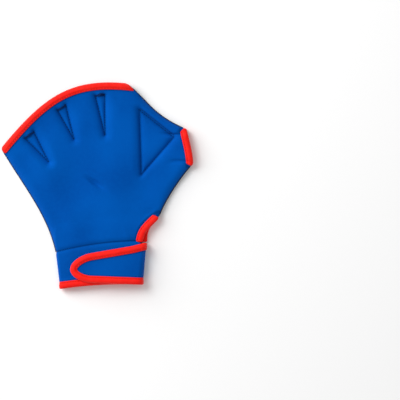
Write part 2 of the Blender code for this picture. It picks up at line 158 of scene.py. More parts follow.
@dataclass(frozen=True)
class Room:
    """How far the two sheets stand apart, and how the empty glove sinks, swells and puckers.

    Args:
        softness: share of the solid's hollow that the empty glove keeps.
        profile: how steeply the hollow rises from a seam or a stitched line.
        loose: distances from the edges, the stitches and the wrist over which the swells set in.
        swells: place, half sizes and height of each soft rise or dip.
        pucker: place, turn in degrees, half sizes and depth of the one small fold.
    """

    hand: float = 0.0074
    cuff: float = 0.0066
    cuff_side: float = 0.0032
    fullness: float = 0.60
    seam_reach: float = 0.0125
    profile: tuple = (3.0, 0.70)
    slit_reach: float = 0.0420
    slit_ease: float = 0.0006
    slit_blend: float = 0.0016
    wrist_reach: float = 0.0310
    pinch: float = 0.22
    web_fullness: float = 0.62
    level_band: float = 0.0084
    palm_blend: float = 0.0056
    back_blend: float = 0.0072
    lift_blend: float = 0.0220
    softness: float = 0.64
    blend: float = 0.0009
    end_reach: float = 0.0035
    shut_reach: float = 0.0060
    crease: float = 0.0009
    crease_width: float = 0.0016
    crease_share: float = 0.8
    pillow: float = 0.0010
    pillow_width: float = 0.0015
    palm_crease: float = 0.0006
    loose: tuple = (0.022, 0.35, 0.010, 0.020)
    swells: tuple = (
        (-0.062, 0.024, 0.024, 0.030, 0.0016),
        (-0.034, -0.038, 0.030, 0.018, 0.0018),
        (0.018, 0.000, 0.020, 0.040, 0.0015),
        (-0.026, 0.006, 0.018, 0.022, -0.0019),
        (0.054, 0.008, 0.014, 0.030, -0.0009),
        (-0.048, 0.052, 0.010, 0.022, 0.0007),
        (-0.016, 0.072, 0.009, 0.022, 0.0007),
        (0.024, 0.080, 0.012, 0.024, 0.0007),
    )
    pucker: tuple = (-0.0025, 0.0020, -34.0, 0.0100, 0.0031, 0.0024)
    swell_step: tuple = (0.0042, -0.0663)


@dataclass(frozen=True)
class StripSizes:
    """The cuff strip: hem, sides, folds and strap."""

    height: float = 0.0440
    hem_rise: float = 0.0053
    hem_bulge: float = 0.0028
    little_taper: float = 0.0048
    thumb_taper: float = 0.0038
    length: float = 0.0820
    width: float = 0.0302
    root_width: float = 0.0430
    root_lift: float = 0.0010
    root_share: float = 0.30
    drop: float = 0.0237
    slant: float = 0.0040
    round_end: float = 0.0219
    gap: float = 0.0026
    tuck: float = 0.0008
    wrist_gap: float = 0.00006
    level_rows: tuple = (0.155, 0.25)
    patch: tuple = (0.0300, 0.0110, 0.27)


CLOTH = Cloth()
HAND = HandSizes()
ROOM = Room()
STRIP = StripSizes()


def smooth(share: Number) -> Array:
    """Ease from 0 to 1 with level ends."""
    share = np.clip(share, 0.0, 1.0)
    return share * share * (3.0 - 2.0 * share)


def bell(distance: Array, width: float) -> Array:
    """1 at no distance, falling to nothing over a few widths."""
    return np.exp(-((distance / width) ** 2))


def unit(ways: Array) -> Array:
    """Ways brought to length 1."""
    return ways / np.linalg.norm(ways, axis=-1, keepdims=True)


def turn(a: Array, b: Array) -> Array:
    """Cross product of ways in the plan."""
    return a[..., 0] * b[..., 1] - a[..., 1] * b[..., 0]


def run_lengths(curve: Array) -> Array:
    """Distance along a run of points at each of its points."""
    return np.concatenate([[0.0], np.cumsum(np.linalg.norm(np.diff(curve, axis=0), axis=1))])


def walk(curve: Array, marks: Array) -> Array:
    """Points at the given distances along a run of points."""
    along = run_lengths(curve)
    return np.stack([np.interp(marks, along, column) for column in curve.T], axis=1)


def divide(grid: Array, cells: int) -> Array:
    """A grid with each step along its first axis divided into equal cells."""
    marks = np.arange((len(grid) - 1) * cells + 1) / cells
    low = np.minimum(marks.astype(int), len(grid) - 2)
    share = (marks - low)[:, None, None]
    return grid[low] * (1 - share) + grid[low + 1] * share


def nearest(points: Array, lines: Sequence[Array]) -> Array:
    """Shortest distance of each point to any of several runs of points in the plan."""
    best = np.full(len(points), np.inf)
    for line in lines:
        for a, b in zip(line, line[1:]):
            run = b - a
            share = np.clip((points - a) @ run / (run @ run), 0.0, 1.0)
            best = np.minimum(best, np.linalg.norm(points - a - share[:, None] * run, axis=1))
    return best


def inside(points: Array, triangles: Sequence[Array]) -> Array:
    """Whether each point lies in any of several triangles."""
    found = np.zeros(len(points), dtype=bool)
    for triangle in triangles:
        ends = zip(triangle, np.roll(triangle, -1, axis=0))
        turns = np.array([turn(b - a, points - a) for a, b in ends])
        found |= (turns.min(axis=0) >= 0.0) | (turns.max(axis=0) <= 0.0)
    return found


def bezier(a: Array, b: Array, c: Array, d: Array, steps: int = 480) -> Array:
    """Dense points of one cubic curve."""
    t = np.linspace(0.0, 1.0, steps + 1)[:, None]
    s = 1.0 - t
    return s**3 * a + 3 * s * s * t * b + 3 * s * t * t * c + t**3 * d


def heading(degrees: float) -> Array:
    """Way in the plan at an angle from +X."""
    return np.array((math.cos(math.radians(degrees)), math.sin(math.radians(degrees))))


def on_seam(x: Number) -> Array:
    """Points of the wrist seam at x."""
    return np.stack([x, HAND.seam_y(x)], axis=-1)


def inset(points: Array, band: float) -> Array:
    """Points moved to the left of their run by band, mitred at each bend."""
    steps = np.diff(points, axis=0)
    before, after = (unit(np.vstack(pair)) for pair in ((steps[:1], steps), (steps, steps[-1:])))
    normals = [np.stack([-way[:, 1], way[:, 0]], axis=1) for way in (before, after)]
    mitre = unit(normals[0] + normals[1])
    return points + mitre * band / np.maximum((mitre * normals[0]).sum(axis=1), MITRE_LEAST)[:, None]


class PanelPlan:
    """Plan of one panel: the coarse cells of its solid, each divided again, on exact outlines.

    Args:
        columns: cells across the panel between its edge bands.
        slit_step: how far the thumb end of the wrist seam is moved in.
        refine: how many fine cells each coarse cell holds each way.
    """

    def __init__(self, columns: int, slit_step: float, refine: int = 6) -> None:
        self.refine = refine
        self.curves = self._outline(slit_step)
        self.side_marks: dict[str, tuple[int, int]] = {}
        left, right, top = self._free_sides(columns, slit_step > 0.0)
        coarse = self._coarse(left[::refine], right[::refine], top[::refine], columns)
        self.points = self._fine(coarse, left, right, top)

    @staticmethod
    def _outline(slit_step: float) -> dict[str, Array]:
        """Every named edge as a dense run of points."""
        half = HAND.wrist / 2.0
        at = {name: np.array((HAND.span * a, HAND.length * b)) for name, (a, b) in HAND.corners.items()}
        at["wrist_little"] = on_seam(-half)
        at["wrist_thumb"] = on_seam(half - slit_step)
        curves = {}
        for name, (start, end, first, last, pull_in, pull_out) in HAND.edges.items():
            a, d = at[start], at[end]
            chord = np.linalg.norm(d - a)
            b, c = a + chord * pull_in * heading(first), d - chord * pull_out * heading(last)
            curves[name] = bezier(a, b, c, d)
        return curves

    def _free_sides(self, columns: int, notched: bool) -> tuple[Array, Array, Array]:
        """Fine runs along the little-finger side, the thumb side and the finger mouth."""
        fingers, web, little = (self.curves[name] for name in ("fingers", "web", "little_side"))
        little_end, finger_end, web_end = (unit(run[-1] - run[-2]) for run in (little, fingers, web))
        at_little = HAND.band / abs(turn(little_end, unit(fingers[1] - fingers[0])))
        at_index = HAND.band / abs(turn(finger_end, web_end))
        runs, rows = [], 0
        for name, count in HAND.rows:
            total = run_lengths(self.curves[name])[-1]
            marks = np.linspace(0.0, total, count + 1)
            if name == "web":
                marks = np.append(np.linspace(0.0, total - at_index, count), total)
            self.side_marks[name] = (rows, rows + count)
            runs.append(self._divide(self.curves[name], marks)[bool(rows) :])
            rows += count
        right = np.concatenate(runs)
        if self.refine > 1:
            self._round(right, notched)
        total = run_lengths(little)[-1]
        left = self._divide(little, np.append(np.linspace(0.0, total - at_little, rows), total))
        total = run_lengths(fingers)[-1]
        marks = np.linspace(at_little, total - at_index, columns + 1)
        return left, right, self._divide(fingers, np.concatenate([[0.0], marks, [total]]))

    def rows_of(self, name: str) -> tuple[int, int]:
        """First and last fine row of one edge of the thumb side."""
        start, end = self.side_marks[name]
        return start * self.refine, end * self.refine

    def _round(self, right: Array, notched: bool) -> None:
        """Eases the thumb side's corners, and swells the slit's edge outwards."""
        slit_end = self.rows_of("slit")[1]
        self._ease(right, self.rows_of("thumb_mouth"))
        if notched:
            edge = right[: slit_end + 1]
            out = unit(np.gradient(edge, axis=0))[:, ::-1] * (1.0, -1.0)
            edge += out * HAND.slit_swell * np.sin(np.linspace(0.0, np.pi, len(edge)))[:, None]
        self._ease(right, (slit_end,))

    @staticmethod
    def _ease(run: Array, marks: Sequence[int], reach: int = 4, rounds: int = 5) -> None:
        """Rounds a run of points off at its corners."""
        for mark in marks:
            for _ in range(rounds):
                before, part, after = (slice(mark - reach + k, mark + reach + 1 + k) for k in (-1, 0, 1))
                run[part] = (run[before] + 2.0 * run[part] + run[after]) / 4.0

    def _divide(self, curve: Array, marks: Array) -> Array:
        """Points at the marks, with refine cells between each two."""
        index = np.arange(0, (len(marks) - 1) * self.refine + 1) / self.refine
        return walk(curve, np.interp(index, np.arange(len(marks)), marks))

    @staticmethod
    def _coarse(left: Array, right: Array, top: Array, columns: int) -> Array:
        """The coarse grid, with its edge band, from the three free sides and the wrist seam."""
        in_left, in_right = inset(left, -HAND.band)[:-1], inset(right, HAND.band)[:-1]
        in_top = inset(top, -HAND.band)[1:-1]
        in_left[0], in_right[0] = on_seam(left[0, 0] + HAND.band), on_seam(right[0, 0] - HAND.band)
        in_left[-1] = left[-2] + top[1] - top[0]
        in_right[-1] = right[-2] + top[-2] - top[-1]
        in_top[0], in_top[-1] = in_left[-1], in_right[-1]
        u = np.linspace(0.0, 1.0, columns + 1)[:, None, None]
        v = np.linspace(0.0, 1.0, len(in_left))[None, :, None]
        bottom = on_seam(in_left[0, 0] + (in_right[0, 0] - in_left[0, 0]) * u[..., 0])
        across = in_left * (1 - u) + in_right * u
        off_bottom, off_top = bottom - across[:, :1], in_top[:, None] - across[:, -1:]
        grid = np.zeros((columns + 3, len(left), 2))
        grid[1:-1, :-1] = across + off_bottom * (1 - v) + off_top * v
        grid[0], grid[-1] = left, right
        grid[:, -1] = top
        return grid

    def _fine(self, coarse: Array, left: Array, right: Array, top: Array) -> Array:
        """The coarse grid divided again, with its outer points put back on the exact outline."""
        k = self.refine
        fine = divide(divide(coarse, k).swapaxes(0, 1), k).swapaxes(0, 1)
        for grid, first, last in ((fine, left, right), (fine.swapaxes(0, 1), None, top)):
            first = on_seam(grid[0, :, 0]) if first is None else first
            off_first, off_last = first - grid[0], last - grid[-1]
            for step, fade in enumerate(1.0 - np.arange(k + 1) / k):
                grid[step] += off_first * fade
                grid[-1 - step] += off_last * fade
        return fine


def strip_side(t: Number, side: int) -> Number:
    """Outer end of the folded cuff on the little-finger (0) or thumb (1) side."""
    half = HAND.wrist / 2.0 + CLOTH.piece_gap
    if side:
        return half - STRIP.thumb_taper * (1.0 - t)
    return -half + STRIP.little_taper * (1.0 - t)


def cuff_room(x: Number, t: Number) -> Array:
    """Height of the room inside the cuff."""
    low, high = strip_side(t, 0), strip_side(t, 1)
    full = np.sin(np.pi * np.clip((x - low) / (high - low), 0.0, 1.0)) ** ROOM.fullness
    return ROOM.cuff_side + (ROOM.cuff - ROOM.cuff_side) * full


class Relief:
    """Heights of the two sheets at points of the plan."""

    def __init__(self) -> None:
        whole, slitted = (PanelPlan(4, step, refine=1).curves for step in (0.0, HAND.notch))
        thin = slice(None, None, 16)
        self.mouths = [whole[mouth.value][thin] for mouth in Mouth]
        self.back_slit = slitted["slit"][thin]
        self.sides = [whole[name][thin] for name in ("little_side", "web", "thumb_under")]
        *self.darts, self.web = HAND.shapes()
        self.stitched = [np.array((b, a, c)) for a, b, c in self.darts]
        self.stitched.append(np.array([*self.web, self.web[0]]))

    def palm(self, points: Array) -> Array:
        """Underside of the palm sheet."""
        near = nearest(points, self.mouths)
        return CLOTH.rise * (1.0 - smooth((near - ROOM.level_band) / ROOM.palm_blend))

    def hollow(self, points: Array) -> Array:
        """Height of the room between the sheets."""
        near = nearest(points, self.sides + self.stitched)
        power, root = ROOM.profile
        rise = (1.0 - (1.0 - np.clip(near / ROOM.seam_reach, 0.0, 1.0)) ** power) ** root
        rise = np.where(inside(points, self.darts), rise * ROOM.pinch, rise)
        rise = np.where(inside(points, [self.web]), rise * ROOM.web_fullness, rise)
        room = CLOTH.seam_gap + ROOM.hand * rise
        beside = smooth(nearest(points, [self.back_slit]) / ROOM.slit_reach)
        low = ROOM.cuff_side + ROOM.slit_ease + (ROOM.hand - ROOM.slit_ease) * beside
        room = (room + low - np.sqrt((room - low) ** 2 + ROOM.slit_blend**2)) / 2.0
        room = np.maximum(room, CLOTH.seam_gap)
        wrist = smooth((points[:, 1] - HAND.seam_y(points[:, 0])) / ROOM.wrist_reach)
        full = (CLOTH.seam_gap + ROOM.hand) * wrist
        room = np.minimum(room, cuff_room(points[:, 0], 1.0) * (1.0 - wrist) + full)
        mouth = nearest(points, self.mouths + [self.back_slit])
        opened = 1.0 - smooth((mouth - ROOM.level_band) / ROOM.back_blend)
        beyond = smooth((mouth - ROOM.end_reach) / ROOM.end_reach)
        shut = 1.0 - smooth(nearest(points, self.sides) / ROOM.shut_reach)
        free = room * (ROOM.softness + (1.0 - ROOM.softness) * (1.0 - wrist))
        held = (2.0 * CLOTH.rise + CLOTH.mouth_clear) * opened * (1.0 - beyond * shut)
        return (free + held + np.sqrt((free - held) ** 2 + ROOM.blend**2)) / 2.0 - ROOM.blend / 4.0

    def back(self, points: Array) -> Array:
        """Underside of the back sheet, with the crease that the stitches press into it."""
        mouth = nearest(points, self.mouths)
        lift = CLOTH.rise * (1.0 - smooth((mouth - ROOM.level_band) / ROOM.lift_blend))
        hollow = self.hollow(points)
        near = nearest(points, self.stitched)
        deepest = (hollow - CLOTH.seam_gap) * ROOM.crease_share
        crease = np.minimum(ROOM.crease, deepest) * bell(near, ROOM.crease_width)
        raised = ROOM.pillow * (1.0 - bell(near, ROOM.pillow_width))
        pillow = np.where(inside(points, self.darts), raised, 0.0)
        edge, start, stitch, wrist = ROOM.loose
        loose = smooth(nearest(points, self.sides + self.mouths + [self.back_slit]) / edge - start)
        loose = loose * smooth(near / stitch) * smooth((points[:, 1] - HAND.seam_y(points[:, 0])) / wrist)
        return lift + CLOTH.sheet + hollow - crease + pillow + loose * self._swell(points)

    @staticmethod
    def _swell(points: Array) -> Array:
        """Soft rises and dips of the empty glove, and its one small pucker."""
        flat = points + ROOM.swell_step
        rise = np.zeros(len(points))
        for x, y, wide, long, depth in ROOM.swells:
            rise += depth * bell(flat[:, 0] - x, wide) * bell(flat[:, 1] - y, long)
        x, y, angle, long, wide, depth = ROOM.pucker
        ahead = heading(angle)
        way = flat - (x, y)
        along, across = way @ ahead, way @ (-ahead[1], ahead[0])
        return rise - depth * bell(along, long) * bell(across, wide) * (1.0 + across / wide)


@dataclass
class StripPlan:
    """Middle surface of the cuff strip, as rows of points from its hidden end to its tip."""

    layer_cells: int = 60
    left_cells: int = 16
    right_cells: int = 22
    strap_cells: int = 34
    round_cells: int = 16
    row_cells: int = 26
    round_angle: float = 87.0
    join_angle: float = math.pi / 6.0
    fold_rounds: int = 12

    def __post_init__(self) -> None:
        self.round_x = strip_side(1.0, 1) - STRIP.length + STRIP.round_end
        self.shares = np.linspace(0.0, 1.0, self.row_cells + 1)
        self.points = np.stack([self._row(t) for t in self.shares], axis=1)
        self.fold_start = 2 * self.layer_cells + self.left_cells + 1

    def palm_z(self, t: float) -> float:
        """Middle height of the palm layer."""
        low, high = STRIP.level_rows
        return CLOTH.sheet / 2.0 + CLOTH.rise * (1.0 - float(smooth((t - low) / (high - low))))

    def back_z(self, x: Number, t: float) -> Array:
        """Middle height of the back layer."""
        return self.palm_z(t) + CLOTH.sheet + cuff_room(x, t)

    def strap_z(self, x: Number) -> Array:
        """Middle height of the strap."""
        return self.back_z(x, 0.0) + CLOTH.sheet + STRIP.gap

    def _fold(self, t: float, side: int) -> tuple[float, float, float]:
        """Middle of a fold: across, up, radius."""
        end = strip_side(t, side)
        radius = CLOTH.sheet
        for _ in range(self.fold_rounds):
            x = end - (radius + CLOTH.sheet / 2.0) * (1.0 if side else -1.0)
            top = self.strap_z(x) if side else self.back_z(x, t)
            radius = float(top - self.palm_z(t)) / 2.0
        return x, self.palm_z(t) + radius, radius

    def layer_y(self, x: Array, t: float) -> Array:
        """Place up the cuff of a point of the two wrist layers."""
        share = (x + HAND.wrist / 2.0) / HAND.wrist
        hem = STRIP.hem_rise * (share - 0.5) + 4.0 * STRIP.hem_bulge * share * (1.0 - share) - STRIP.height
        return hem + (HAND.seam_y(x) - STRIP.wrist_gap - hem) * t

    def strap_y(self, x: Array, t: float, narrow: Number = 1.0) -> Array:
        """Place up the cuff of a point of the strap."""
        share = (x - self.round_x) / (strip_side(1.0, 1) - self.round_x)
        half = (STRIP.width + (STRIP.root_width - STRIP.width) * share) / 2.0
        at_root = smooth(1.0 - (1.0 - share) / STRIP.root_share)
        lift = STRIP.root_lift * at_root * smooth(2.0 * t - 1.0)
        return -STRIP.drop + STRIP.slant * share + half * narrow * (2.0 * t - 1.0) + lift

    def _row(self, t: float) -> Array:
        """One row of points along the whole strip."""
        left_x, left_z, left_r = self._fold(t, 0)
        right_x, right_z, right_r = self._fold(t, 1)
        spread = np.linspace(left_x, right_x, self.layer_cells + 1)
        back = np.concatenate([[right_x + STRIP.tuck], spread[::-1]])
        parts = [(back, self.layer_y(back, t), self.back_z(back, t))]
        angle = np.pi * np.arange(1, self.left_cells) / self.left_cells
        x = left_x - left_r * np.sin(angle)
        parts.append((x, self.layer_y(x, t), left_z + left_r * np.cos(angle)))
        parts.append((spread, self.layer_y(spread, t), np.full(len(spread), self.palm_z(t))))
        angle = np.pi * np.arange(1, self.right_cells) / self.right_cells
        x = right_x + right_r * np.sin(angle)
        join = smooth(angle / self.join_angle)
        y = self.layer_y(x, t) * (1.0 - join) + self.strap_y(x, t) * join
        parts.append((x, y, right_z - right_r * np.cos(angle)))
        x = np.linspace(right_x, self.round_x, self.strap_cells + 1)
        parts.append((x, self.strap_y(x, t), self.strap_z(x)))
        angle = np.radians(np.linspace(0.0, self.round_angle, self.round_cells + 1)[1:])
        x = self.round_x - STRIP.round_end * np.sin(angle)
        parts.append((x, self.strap_y(x, t, np.cos(angle)), self.strap_z(x)))
        return np.concatenate([np.stack(part, axis=1) for part in parts])

    def normals(self) -> Array:
        """Outward way of the strip's face at each point."""
        tangent = np.gradient(self.points, axis=0)
        return unit(np.stack([tangent[..., 2], np.zeros(tangent.shape[:2]), -tangent[..., 0]], axis=-1))


def find_shift() -> Array:
    """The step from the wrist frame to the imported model's frame, read from the back panel's box."""
    plan = PanelPlan(30, HAND.notch, refine=1)
    corners = np.concatenate([plan.points.reshape(-1, 2), *plan.curves.values()])
    low, high = (np.array(corner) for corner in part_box("back_panel"))
    step = (low + high)[:2] / 2.0 - (corners.min(axis=0) + corners.max(axis=0)) / 2.0
    return np.array((*step, 0.0))


SHIFT = find_shift()


def in_row(points: Array) -> Array:
    """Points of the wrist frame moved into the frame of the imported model."""
    return points + SHIFT


@dataclass(frozen=True)
class TapeShape:
    """Cross-section of the folded tape, drawn round one edge of a sheet.

    Args:
        arm_face: share of the reach and share of fullness, from the crown to the sheet's edge.
        fold_top: distance out from the edge, share of fullness and share of height, round the fold.
        fold_foot: the same below the sheet's middle.
    """

    reach: float = CLOTH.tape_reach
    thin: float = 0.00066
    crown: float = 0.00165
    stitch_in: float = 0.00150
    arm_face: tuple = ((0.42, 1.00), (0.25, 0.96), (0.10, 0.83), (0.0, 0.66))
    fold_top: tuple = ((-0.00062, 0.36, 1.0), (-0.00104, 0.05, 0.85), (-0.00125, 0.0, 0.25))
    fold_foot: tuple = ((-0.00118, 0.0, 0.45), (-0.00090, 0.20, 0.90), (-0.00055, 0.55, 1.0))

    def arm(self) -> list[tuple[float, float, float]]:
        """One arm's outer face: distance in from the edge, share of fullness and share of height."""
        inner = self.reach - self.stitch_in
        rows = [(self.reach, 0.0), (self.reach + 0.00004, 0.20), (self.reach - 0.00022, 0.44)]
        rows += [(inner + 0.00060, 0.56), (inner + 0.00018, 0.43), (inner - 0.00026, 0.45)]
        rows += [(inner - 0.00080, 0.74), (inner - 0.00160, 0.93)]
        rows += [(self.reach * part, share) for part, share in self.arm_face]
        return [(across, share, 1.0) for across, share in rows]

    def outline(self, outer: Array, inner: Array) -> tuple[Array, Array]:
        """Closed outline at every station.

        Args:
            outer: thickness of the outer arm at each station.
            inner: thickness of the inner arm at each station.

        Returns:
            Distances in from the edge, and heights over the sheet's middle, one row a station.
        """
        half = CLOTH.sheet / 2.0 + CLOTH.tape_gap
        arm = self.arm()
        rows = [(a, half * rise + outer * share) for a, share, rise in (*arm, *self.fold_top)]
        rows += [(a, -half * rise - inner * share) for a, share, rise in (*self.fold_foot, *arm[::-1])]
        lining = ((0.0, -1.0), (-CLOTH.tape_gap, -0.6), (-CLOTH.tape_gap, 0.6), (0.0, 1.0))
        rows += [(a, half * rise + 0.0 * outer) for a, rise in lining]
        across, height = zip(*rows)
        return np.array(across), np.array(height)


def by_vertex(grid: Array) -> list:
    """Values of a placed grid in the order of its mesh's vertices."""
    return grid.swapaxes(0, 1).reshape(-1, *grid.shape[2:]).tolist()


class Builder:
    """Makes meshes from placed grids and puts the pieces into one collection."""

    def __init__(self, name: str) -> None:
        self.collection = bpy.data.collections.new(name)
        bpy.context.scene.collection.children.link(self.collection)
        self.made: list[bpy.types.Object] = []

    def finish(
        self, name: str, shape: Shape, finish: Material, sharp: float = 60.0
    ) -> bpy.types.Object:
        """Turns a bmesh into a smooth-shaded object with outward faces."""
        bmesh.ops.recalc_face_normals(shape, faces=shape.faces)
        mesh = bpy.data.meshes.new(name)
        shape.to_mesh(mesh)
        shape.free()
        mesh.shade_smooth()
        mesh.set_sharp_from_angle(angle=math.radians(sharp))
        mesh.materials.append(finish)
        item = bpy.data.objects.new(name, mesh)
        self.collection.objects.link(item)
        self.made.append(item)
        return item

    def grid(self, place: Array) -> Shape:
        """A sheet of cells whose point (i, j) stands at place[i, j]."""
        shape = bmesh.new()
        bmesh.ops.create_grid(shape, x_segments=place.shape[0] - 1, y_segments=place.shape[1] - 1, size=1.0)
        for vertex, point in zip(shape.verts, by_vertex(place)):
            vertex.co = point
        return shape

    def shell(
        self, upper: Array, lower: Array, marks: dict[str, Array], rim: float
    ) -> Shape:
        """A closed sheet between two placed grids.

        Args:
            upper: places of the upper face.
            lower: places of the lower face.
            marks: values kept as attributes of the points.
            rim: radius of the rounded rims.

        Returns:
            The sheet as a bmesh.
        """
        shape = self.grid(upper)
        order = shape.verts.layers.int.new("order")
        layers = {name: shape.verts.layers.float.new(name) for name in marks}
        values = {name: by_vertex(mark) for name, mark in marks.items()}
        for index, vertex in enumerate(shape.verts):
            vertex[order] = index
            for name, layer in layers.items():
                vertex[layer] = values[name][index]
        raised = bmesh.ops.extrude_face_region(shape, geom=shape.faces[:], use_keep_orig=True)
        flat = by_vertex(lower)
        moved = {item for item in raised["geom"] if isinstance(item, bmesh.types.BMVert)}
        for vertex in moved:
            vertex.co = flat[vertex[order]]
        walls = {face for face in shape.faces if len({vertex in moved for vertex in face.verts}) == 2}
        flats = (edge for edge in shape.edges if len({vertex in moved for vertex in edge.verts}) == 1)
        rims = [edge for edge in flats if not walls.isdisjoint(edge.link_faces)]
        bmesh.ops.bevel(shape, geom=rims, offset=rim, segments=2, profile=0.5, affect="EDGES", material=-1)
        shape.verts.layers.int.remove(shape.verts.layers.int["order"])
        return shape

    def tube(self, place: Array) -> Shape:
        """A closed band swept along stations: place[i, j] is point j of the outline at station i."""
        shape = self.grid(np.concatenate([place, place[:, :1]], axis=1))
        bmesh.ops.remove_doubles(shape, verts=shape.verts, dist=1e-7)
        ends = [edge for edge in shape.edges if edge.is_boundary]
        bmesh.ops.holes_fill(shape, edges=ends, sides=0)
        return shape


@dataclass
class Stations:
    """Places along an edge: the sheet's middle point, the ways in and up, and the tape's fullness."""

    middle: Array
    inward: Array
    up: Array
    puff: Array


def gather(whole: Shape, part: Shape) -> None:
    """Moves a small mesh into a larger one, which keeps each operator's work small."""
    mesh = bpy.data.meshes.new("part")
    part.to_mesh(mesh)
    part.free()
    whole.from_mesh(mesh)
    bpy.data.meshes.remove(mesh)


@dataclass
class StitchRow:
    """Thread seen as short raised lengths along a line, sunk halfway into the cloth."""

    pitch: float = 0.0030
    length: float = 0.0021
    radius: float = 0.00022
    blunt: float = 0.75
    full: float = 3.0

    def add(self, shape: Shape, line: Array, up: Array) -> None:
        """Adds the visible thread lengths of one line.

        Args:
            shape: the mesh that gathers the thread.
            line: the run of points that the thread follows.
            up: the cloth's outward way at each of them.
        """
        along = run_lengths(line)
        count = int((along[-1] - self.length) // self.pitch) + 1
        spare = (along[-1] - (count - 1) * self.pitch) / 2.0
        middles = spare + self.pitch * np.arange(count)
        at = walk(line, middles)
        ahead = walk(line, np.minimum(middles + self.length / 2.0, along[-1]))
        behind = walk(line, np.maximum(middles - self.length / 2.0, 0.0))
        outs = np.stack([np.interp(middles, along, column) for column in up.T], axis=1)
        part = bmesh.new()
        for middle, run, out in zip(at, ahead - behind, outs):
            self.add_length(part, middle, run, out)
        gather(shape, part)

    def add_length(self, shape: Shape, middle: Array, run: Array, out: Array) -> None:
        """Adds one thread length, a blunt ellipsoid laid along the run."""
        ahead = Vector(run).normalized()
        side = Vector(out).cross(ahead).normalized()
        up = ahead.cross(side)
        made = bmesh.ops.create_uvsphere(shape, u_segments=8, v_segments=5, radius=1.0)
        for vertex in made["verts"]:
            x, y, z = vertex.co
            flat = math.copysign(abs(z) ** self.blunt, z)
            ring, wide = math.hypot(x, y), self.radius * math.sqrt(max(1.0 - abs(flat) ** self.full, 0.0))
            across = (side * x + up * y) * (wide / ring if ring > POLE else 0.0)
            vertex.co = Vector(middle) + ahead * (flat * self.length / 2.0) + across


@dataclass
class Binding:
    """One folded tape with its row of stitches.

    Args:
        name: the piece's plain name.
        node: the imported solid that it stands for.
        stations: where it runs.
        taper: length over which each end is drawn in.
        waver: how far the hand-fed tape rises and falls.
        waves: how closely it does so along the edge.
        end_share: reach and thickness that are left at the very end.
        thread_sink: share of the outer arm's thickness at which the thread's middle lies.
    """

    name: str
    node: str
    stations: Stations
    shape: TapeShape = field(default_factory=TapeShape)
    taper: float = 0.0030
    waver: float = 0.00005
    waves: tuple[float, float] = (410.0, 977.0)
    end_round: float = 0.0030
    end_share: tuple[float, float] = (0.62, 0.55)
    thread_sink: float = 0.70

    def _fullness(self) -> tuple[Array, Array, Array]:
        """Reach, outer and inner thickness at each station."""
        along = run_lengths(self.stations.middle)
        share = np.clip(np.minimum(along, along[-1] - along) / self.taper, 0.0, 1.0)
        tuck = np.sqrt(np.clip(1.0 - (1.0 - share) ** 2, 0.0, 1.0))
        reach, wall = (low + (1.0 - low) * tuck for low in self.end_share)
        wave = self.waver * (np.sin(along * self.waves[0]) + 0.6 * np.sin(along * self.waves[1] + 1.3))
        full = self.shape.thin + (self.shape.crown - self.shape.thin + wave) * self.stations.puff
        return reach, full * wall, self.shape.thin * wall

    def build(self, builder: Builder, tape: Material) -> bpy.types.Object:
        """Sweeps the outline along the stations.

        Returns:
            The tape as one closed piece.
        """
        st = self.stations
        reach, outer, inner = self._fullness()
        across, height = self.shape.outline(outer, inner)
        place = np.zeros((len(st.middle), len(across), 3))
        for j, a in enumerate(across):
            inward = a * reach if a > 0.0 else a + self.end_round * (reach.max() - reach)
            place[:, j] = st.middle + st.inward * inward[:, None] + st.up * height[j][:, None]
        return builder.finish(self.name, builder.tube(in_row(place)), tape, sharp=75.0)

    def stitch(self, row: StitchRow, shape: Shape) -> None:
        """Adds the thread that lies in the outer arm's channel."""
        st = self.stations
        reach, outer, _ = self._fullness()
        inward = (self.shape.reach - self.shape.stitch_in) * reach
        height = CLOTH.sheet / 2.0 + CLOTH.tape_gap + outer * self.thread_sink
        row.add(shape, in_row(st.middle + st.inward * inward[:, None] + st.up * height[:, None]), st.up)


